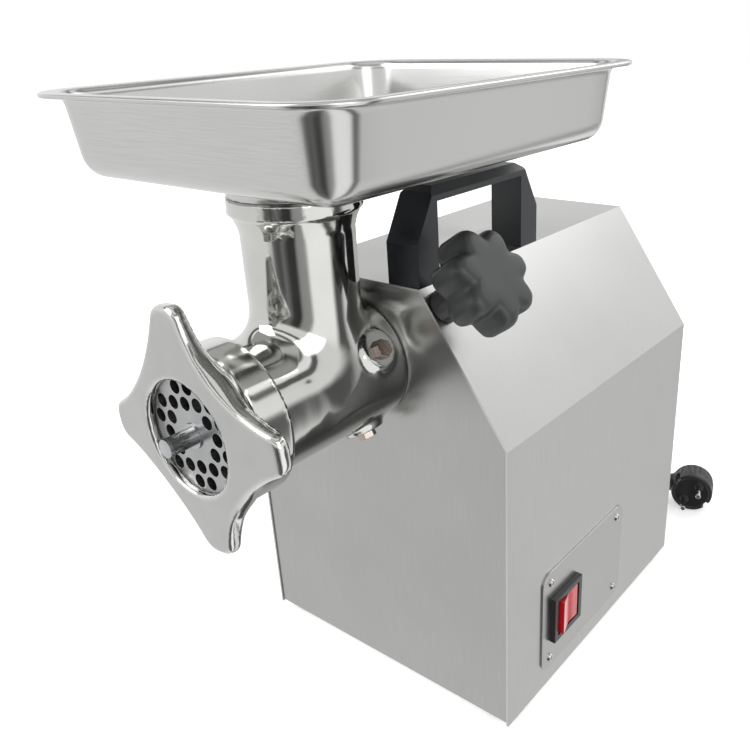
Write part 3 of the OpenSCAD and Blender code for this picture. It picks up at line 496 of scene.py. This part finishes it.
points, quads = skinOf(plugField, (-47, -2, -22), (22, 35, 22), plug["cell"])
mesh = bpy.data.meshes.new("plug_moulding")
mesh.from_pydata([tuple(plugPoint(*point)) for point in points], [], quads.tolist())
addPiece("plug_moulding", mesh, "plug", ["plugPvc"], 0)
softened("plug_pins", "plug_pin_ends", 0.9, 3)
print("plug moulded")

# ---- mains lead: out of its strain relief, down onto its coil, and out of the coil to the plug ----
lead = {"diameter": 7, "centre": (-35, 302), "first": 68, "past": 156, "stay": 320, "move": 40, "step": 12,
        "strands": ((33.5, 17.5), (40.5, 17.5), (40.5, 10.5), (33.5, 10.5), (33.5, 3.5), (40.5, 3.5)),
        "in": ((2, 277, 37), (2, 281, 37), (2, 286, 37), (2, 291, 36.5), (2, 297, 35), (2, 302, 33.5),
               (1, 310, 30), (-2, 317.5, 26.5), (-7, 324, 23), (-13, 329, 20), (-18.5, 332, 18)),
        "out": ((5, 287, 4.5), (10, 293, 6), (15.5, 299, 8), (21.5, 304.5, 11), (27.5, 309, 13.5),
                (34, 313.5, 16.5), (42, 317.5, 18.5), (51, 321, 19.5), (57, 323, 19.5))}


def leadRoute(look):  # each strand of the coil is a radius and a height, with a step over to the next
    points = list(look["in"])
    last = len(look["strands"]) - 1
    for turn in range(look["first"], last * look["stay"] + look["past"] + 1, look["step"]):
        k = min(turn // look["stay"], last)
        late = (turn - look["stay"] * (k + 1) + look["move"]) / look["move"]
        share = 0 if k == last or late < 0 else late * late * (3 - 2 * late)
        here, there = look["strands"][k], look["strands"][min(k + 1, last)]
        radius, height = (here[i] + share * (there[i] - here[i]) for i in (0, 1))
        angle = math.radians(turn)
        points.append((look["centre"][0] + radius * math.cos(angle),
                       look["centre"][1] + radius * math.sin(angle), height))
    return points + list(look["out"])


def makeLead(look):
    route = [placed(*p) for p in leadRoute(look)]
    for _ in range(2):  # ease the joins between the listed and the wound stretches
        eased = [(a + 2 * b + c) / 4 for a, b, c in zip(route, route[1:], route[2:])]
        route = [route[0]] + eased + [route[-1]]
    data = bpy.data.curves.new("lead", "CURVE")
    data.dimensions = "3D"
    data.bevel_depth = look["diameter"] / 2 * mm
    data.bevel_resolution = 4
    data.use_fill_caps = True
    spline = data.splines.new("POLY")
    spline.points.add(len(route) - 1)
    for point, at in zip(spline.points, route):
        point.co = (*at, 1)
    spline.use_smooth = True
    data.materials.append(finishes["leadPvc"])
    piece = bpy.data.objects.new("mains_lead", data)
    bpy.context.collection.objects.link(piece)
    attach(piece, "frame")
    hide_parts("cord", "cord_coil", "cord_tail")


makeLead(lead)

# ---- studio ----
studio = {"floor": ("#f4f4f3", "#f7f7f6"), "glow": 0.45, "sky": 1.0, "key": 22, "fill": 10, "rim": 9}


def makeFloor(look):
    bpy.ops.mesh.primitive_circle_add(vertices=96, radius=7, fill_type="NGON")
    floor = bpy.context.object
    floor.name = "floor"
    material, tree = newMaterial("studio_floor")
    finished(material, tree, {"Base Color": blended(tree, grain(tree, 900, 1), *look["floor"]),
                              "Roughness": 0.9, "Emission Color": (1, 1, 1, 1),
                              "Emission Strength": look["glow"]})
    floor.data.materials.append(material)
    floor.visible_glossy = False  # polished metal shows the studio's flags in its place


def makeSky(look):
    # pale all round for the eye, with the dark flags and bright boxes that polished metal shows
    world = bpy.data.worlds.new("studio")
    bpy.context.scene.world = world
    world.use_nodes = True
    tree = world.node_tree
    tree.nodes.clear()
    where = addNode(tree, "ShaderNodeTexCoord").outputs["Generated"]
    parts = addNode(tree, "ShaderNodeSeparateXYZ", {"Vector": where}).outputs
    turn = addNode(tree, "ShaderNodeMath", {0: parts["Y"], 1: parts["X"]}, operation="ARCTAN2").outputs[0]
    share = addNode(tree, "ShaderNodeMapRange", {"Value": turn, "From Min": -math.pi,
                                                 "From Max": math.pi}).outputs[0]
    around = addNode(tree, "ShaderNodeValToRGB", {"Fac": share})
    fillRamp(around.color_ramp, look["round"])
    rise = addNode(tree, "ShaderNodeMapRange", {"Value": parts["Z"], "From Min": -1.0,
                                                "From Max": 1.0}).outputs[0]
    high = addNode(tree, "ShaderNodeValToRGB", {"Fac": rise})
    fillRamp(high.color_ramp, look["rise"])
    above = addNode(tree, "ShaderNodeMapRange", {"Value": parts["Z"], "From Min": 0.02, "From Max": 0.2},
                    interpolation_type="SMOOTHSTEP").outputs[0]
    both = addNode(tree, "ShaderNodeMix", {"Factor": above}, data_type="RGBA")
    tree.links.new(around.outputs["Color"], both.inputs[6])
    tree.links.new(high.outputs["Color"], both.inputs[7])
    seen = addNode(tree, "ShaderNodeBackground", {"Color": (1, 1, 1, 1), "Strength": 1.0}).outputs[0]
    felt = addNode(tree, "ShaderNodeBackground", {"Color": both.outputs[2],
                                                  "Strength": look["sky"]}).outputs[0]
    path = addNode(tree, "ShaderNodeLightPath").outputs["Is Camera Ray"]
    mixed = addNode(tree, "ShaderNodeMixShader", {0: path, 1: felt, 2: seen}).outputs[0]
    addNode(tree, "ShaderNodeOutputWorld", {"Surface": mixed})


def fillRamp(ramp, stops):  # (place, brightness) in order
    while len(ramp.elements) > 1:
        ramp.elements.remove(ramp.elements[0])
    ramp.elements[0].position = stops[0][0]
    ramp.elements[0].color = (stops[0][1],) * 3 + (1,)
    for place, bright in stops[1:]:
        ramp.elements.new(place).color = (bright,) * 3 + (1,)


# places run from -X round through -Y (a quarter), +X (a half) and +Y (three quarters)
studio["round"] = ((0.0, 1.02), (0.2, 1.0), (0.225, 0.75), (0.24, 0.2), (0.27, 0.1), (0.29, 0.24),
                   (0.32, 0.06), (0.352, 0.05), (0.37, 0.4), (0.41, 0.45), (0.43, 1.35), (0.545, 1.35),
                   (0.57, 0.12), (0.6, 0.14), (0.625, 0.95), (0.69, 1.0), (0.71, 0.1), (0.735, 1.2),
                   (0.775, 1.2), (0.8, 0.05), (0.85, 0.1), (0.88, 1.0), (1.0, 1.02))
studio["rise"] = ((0.0, 0.7), (0.5, 0.8), (0.56, 1.1), (0.7, 1.05), (0.735, 1.0), (0.75, 0.12),
                  (0.79, 0.15), (0.805, 1.3), (0.86, 1.2), (0.875, 0.2), (0.91, 0.25), (0.93, 0.95),
                  (1.0, 0.9))


def makeBox(name, at, aim, size, power):
    data = bpy.data.lights.new(name, "AREA")
    data.shape = "RECTANGLE"
    data.size, data.size_y = size
    data.energy = power
    light = bpy.data.objects.new(name, data)
    bpy.context.collection.objects.link(light)
    light.location = at
    light.rotation_euler = (Vector(aim) - Vector(at)).to_track_quat("-Z", "Y").to_euler()


makeFloor(studio)
makeSky(studio)
middle = (0, 0, 0.2)
makeBox("key", (-0.9, -1.3, 1.7), middle, (1.4, 1.4), studio["key"])
makeBox("fill", (1.8, -0.6, 1.2), middle, (1.2, 1.6), studio["fill"])
makeBox("rim", (0.6, 1.9, 1.6), middle, (1.6, 1.0), studio["rim"])
bpy.context.scene.view_settings.view_transform = "Standard"
print("studio set")

# ---- casing, screws and switch: CAD shapes with their bends and edges rounded ----
for node, name, edge, segments in (
        ("housing_shell", "casing_wrap", 0.7, 3), ("front_panel", "casing_front", 0.35, 2),
        ("rear_panel", "casing_rear", 0.35, 2), ("feet", "rubber_feet", 0.8, 2),
        ("switch_plate", "switch_plate_sheet", 0.35, 2),
        ("switch_plate_screws", "switch_plate_heads", 0.25, 2),
        ("switch_body", "switch_frame", 0.8, 3), ("rocker", "switch_rocker", 0.7, 3),
        ("carry_handle", "handle_moulding", 1.8, 4), ("head_bolts", "head_bolt_heads", 0.4, 2),
        ("panel_screws", "rear_screws", 0.2, 2), ("cutting_plate", "perforated_plate", 0.25, 2)):
    softened(node, name, edge, segments)
print("casing done")

# ---- head: barrel, throat and bolt pads in one casting ----
head = {"barrel": 38.6, "throat": 31.4, "throatY": -39.5, "rim": 110, "flange": 36.4, "fillet": 15,
        "mouth": 39.4, "neck": 26, "pad": 12, "padOut": 42.2, "padY": -20, "padTurn": 28.5,
        "chamber": 33.8, "bore": 27.2, "bush": 16, "recess": 35, "cell": 1.7}


def headField(p):
    x, y, z = p[..., 0], p[..., 1], p[..., 2]
    axial = np.hypot(x, z)
    upright = np.hypot(x, y - head["throatY"])
    body = softMax(axial - head["barrel"], np.abs(y + 59.6) - 60.4, 1.2)
    throat = softMax(upright - head["throat"], np.abs(z - 53) - 53, 1)
    body = softMin(body, throat, head["fillet"])
    cone = np.maximum((upright - head["throat"] - (z - 92.5) * 0.45) * 0.91, np.abs(z - 97.5) - 5)
    collar = softMax(upright - head["flange"], np.abs(z - head["rim"] + 4.3) - 4.3, 1.2)
    body = softMin(body, softMin(cone, collar, 2), 2)
    for quarter in (0, 90, 180):
        angle = math.radians(head["padTurn"] - quarter)
        along = x * math.cos(angle) + z * math.sin(angle)
        across = np.sqrt(np.maximum(axial ** 2 - along ** 2, 0) + (y - head["padY"]) ** 2)
        pad = softMax(softMax(across - head["pad"], along - head["padOut"], 2), 20 - along, 1)
        body = softMin(body, pad, 5)
    body = np.minimum(body, softMax(axial - head["mouth"], np.abs(y + 107.5) - 12.5, 1))
    body = np.minimum(body, softMax(axial - head["neck"], np.abs(y - 13) - 14.8, 1.5))
    body = softMax(body, -np.maximum(axial - head["chamber"], y + 7), 0.8)
    body = softMax(body, -np.maximum(axial - head["recess"], y + 117), 0.8)
    body = softMax(body, -np.maximum(axial - head["bush"], -y - 9), 0.6)
    return softMax(body, -np.maximum(upright - head["bore"], -z), 1)


points, quads = skinOf(headField, (-46, -124, -47), (46, 32, 113), head["cell"])
addPiece("head_body", castMesh("head_body", points, quads), "head_casting", ["castPolished"], 0)
print("head cast:", len(points))

# ---- ring nut: satin face, polished sides ----
ring = {"front": -130, "thick": 11, "drop": 3.5, "lobe": 71, "tip": 9, "mid": 45, "turn": 7,
        "opening": 31.9, "skirt": 44.2, "skirtEnd": -95, "recess": 35, "bore": 39.6, "lip": 5, "edge": 4,
        "cell": 1.7}


def starField(x, z):
    chord = (ring["lobe"] - ring["tip"]) / math.sqrt(2)
    sag = (ring["lobe"] + ring["tip"]) / math.sqrt(2) - ring["mid"]
    hollow = (chord ** 2 + sag ** 2) / (2 * sag)
    angle = math.radians(ring["turn"])
    a, b = x * math.cos(angle) + z * math.sin(angle), z * math.cos(angle) - x * math.sin(angle)
    a, b = np.abs(a), np.abs(b)
    edge = softMax(np.hypot(x, z) - ring["lobe"], np.maximum(a, b) - ring["lobe"] + 1.5, 1)
    middle = (ring["mid"] + hollow) / math.sqrt(2)
    return softMax(edge, hollow - np.hypot(a - middle, b - middle), 6)


def ringField(p):
    x, y, z = p[..., 0], p[..., 1], p[..., 2]
    radius = np.hypot(x, z)
    front = ring["front"] + ring["drop"] * np.clip((radius - 37) / 34, 0, 1) - y
    star = softMax(softMax(starField(x, z), front, ring["edge"]), y - ring["front"] - ring["thick"], 2)
    skirt = softMax(radius - ring["skirt"], np.abs(y - ring["skirtEnd"] + 14) - 14, 1.5)
    body = softMin(star, skirt, 6)
    body = softMax(body, ring["opening"] - radius, 2)
    body = softMax(body, -np.maximum(radius - ring["recess"], ring["front"] + ring["lip"] - y), 0.6)
    return softMax(body, -np.maximum(radius - ring["bore"], -120 - y), 0.8)


points, quads = skinOf(ringField, (-76, -134, -76), (76, -92, 76), ring["cell"])
mesh = castMesh("ring_star", points, quads)
edgeIn = np.clip(1.2 + starField(points[:, 0], points[:, 2]) / 2.6, 0, 1)
boreIn = np.clip((ring["opening"] + 2.4 - np.hypot(points[:, 0], points[:, 2])) / 1.6, 0, 1)
behind = np.clip((points[:, 1] - ring["front"] - 4.5) / 1.5, 0, 1)
polish = mesh.attributes.new("polish", "FLOAT", "POINT")
polish.data.foreach_set("value", np.maximum(np.maximum(edgeIn, boreIn), behind))
addPiece("ring_star", mesh, "ring_nut", ["castRing"], 0)
print("ring nut cast:", len(points))

# ---- tray: one pressed pan with a flat lip, and its neck ----
tray = {"width": 226, "length": 274, "front": 84, "depth": 44.5, "sheet": 1.2, "corner": 34, "side": 15,
        "curve": 14, "lip": 9, "collar": 35.6, "neck": 27, "neckLength": 28, "flange": 10.5,
        "perCorner": 12, "perSide": 12}


def panLoop(inset, z):
    corner = max(tray["corner"] - inset, 6)
    a, b = tray["width"] / 2 - inset - corner, tray["length"] / 2 - inset - corner
    middleY = head["throatY"] - tray["front"] + tray["length"] / 2
    bends = []
    for sx, sy, start in ((1, 1, 0), (-1, 1, 90), (-1, -1, 180), (1, -1, 270)):
        turns = [math.radians(start + 90 * i / tray["perCorner"]) for i in range(tray["perCorner"] + 1)]
        bends.append([(sx * a + corner * math.cos(t), middleY + sy * b + corner * math.sin(t))
                      for t in turns])
    points = []
    for bend, following in zip(bends, bends[1:] + bends[:1]):
        (x0, y0), (x1, y1) = bend[-1], following[0]
        points += bend
        points += [(x0 + (x1 - x0) * i / tray["perSide"], y0 + (y1 - y0) * i / tray["perSide"])
                   for i in range(1, tray["perSide"])]
    return [(x, y, z) for x, y in points]


def neckLoop(radius, z):  # round the throat, each point towards the pan's own
    loop = []
    for x, y, _ in panLoop(tray["side"] + 10, 0):
        reach = math.hypot(x, y - head["throatY"])
        loop.append((x / reach * radius,
                     head["throatY"] + (y - head["throatY"]) / reach * radius, z))
    return loop


def makeTray(look):
    rim = axisZ + head["rim"]
    floor = rim + look["flange"]
    top = floor + look["depth"]
    t, bend, lip, collar = (look[k] for k in ("sheet", "curve", "lip", "collar"))

    def bottom(lift):  # the pressed corner between floor and wall
        turns = [math.radians(a) for a in (0, 12, 24, 36, 48, 60, 72, 80)]
        return [panLoop(look["side"] + lift + 0.9 * (bend - lift) * (1 - math.sin(a)),
                        floor + lift + (bend - lift) * (1 - math.cos(a))) for a in turns]
    upper = [panLoop(inset, top - drop) for inset, drop in (
        (lip + 3, 7), (lip + 2.2, 4.4), (lip + 0.8, 2.9), (lip - 1, 2.3),  # up the wall and under the lip
        (1.2, 2.4), (0.3, 2.1), (0, 1.3), (0.3, 0.4), (1.2, 0),  # round its edge
        (lip - 1, 0.1), (lip + 1.2, 0.6), (lip + 2.8, 2.4), (lip + 3.9, 5.6))]  # and down inside
    outer = [neckLoop(*at) for at in ((collar - 0.6, rim), (collar, rim + 0.6), (collar, floor - 0.4),
                                      (collar + 0.5, floor - 0.05))]
    n, foot = look["neck"], rim - look["neckLength"]
    inner = [neckLoop(*at) for at in ((n - t + 1.6, floor + t), (n - t + 0.4, floor + t - 0.5),
                                      (n - t, floor + t - 1.8), (n - t, foot), (n, foot), (n, rim))]
    loops = outer + bottom(0) + upper + bottom(t)[::-1] + inner
    return lofted([[placed(*p) for p in loop] for loop in loops], closed=True)


addPiece("feed_pan", makeTray(tray), "feed_tray", ["sheetTray"], 50)
print("tray pressed")

# ---- locking knob: seven lobes on a stepped hub ----
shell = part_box("housing_shell")
knob = {"lobes": 7, "radius": 29.5, "hollow": 6.2, "hub": 10.3, "out": 46.5, "y": 11, "slope": (59, 85.5),
        "gap": 0.4, "points": 154}


def knobRadius(angle, share, inset):
    lobe = knob["radius"] - knob["hollow"] * (0.5 - 0.5 * math.cos(knob["lobes"] * angle)) ** 1.4 - inset
    return knob["hub"] + share * (lobe - knob["hub"])


def makeKnob(look):
    run, drop = look["slope"]
    outward = Vector((drop, 0, run)).normalized()
    across = Vector((0, 1, 0))
    other = outward.cross(across)
    # The top of the casing's upright side, where its shoulder starts
    corner = Vector((shell[1][0], frontY + look["y"] * mm, shell[1][2] - drop * mm))
    axle = placed(0, look["y"], axisZ)
    foot = axle + outward * (corner - axle).dot(outward)
    gap, out = look["gap"], look["out"]
    levels = ((gap, -0.06, 0), (gap + 0.8, 0, 0), (16.5, 0, 0), (18.5, 0.06, 0), (20.5, 0.3, 0),
              (21.8, 0.6, 0), (23, 0.84, 0), (24.6, 0.96, 0), (26.6, 1, 0), (32, 1, 0), (38, 1, 0),
              (41, 1, 0.4), (43.4, 1, 1.4), (45.2, 1, 3), (46.2, 1, 5.2), (out, 1, 7.6),
              (out, 0.35, 7.6), (out - 0.3, -0.5, 0))  # height, how far out from hub to lobe, and inset
    loops = []
    for height, share, inset in levels:
        loop = []
        for i in range(look["points"]):
            angle = 2 * math.pi * i / look["points"]
            radius = knobRadius(angle, share, inset) * mm
            level = foot + outward * height * mm
            loop.append(level + across * radius * math.cos(angle) + other * radius * math.sin(angle))
        loops.append(loop)
    return lofted(loops)


addPiece("locking_knob", makeKnob(knob), "lock_knob", ["knobPlastic"], 50)
print("knob moulded")
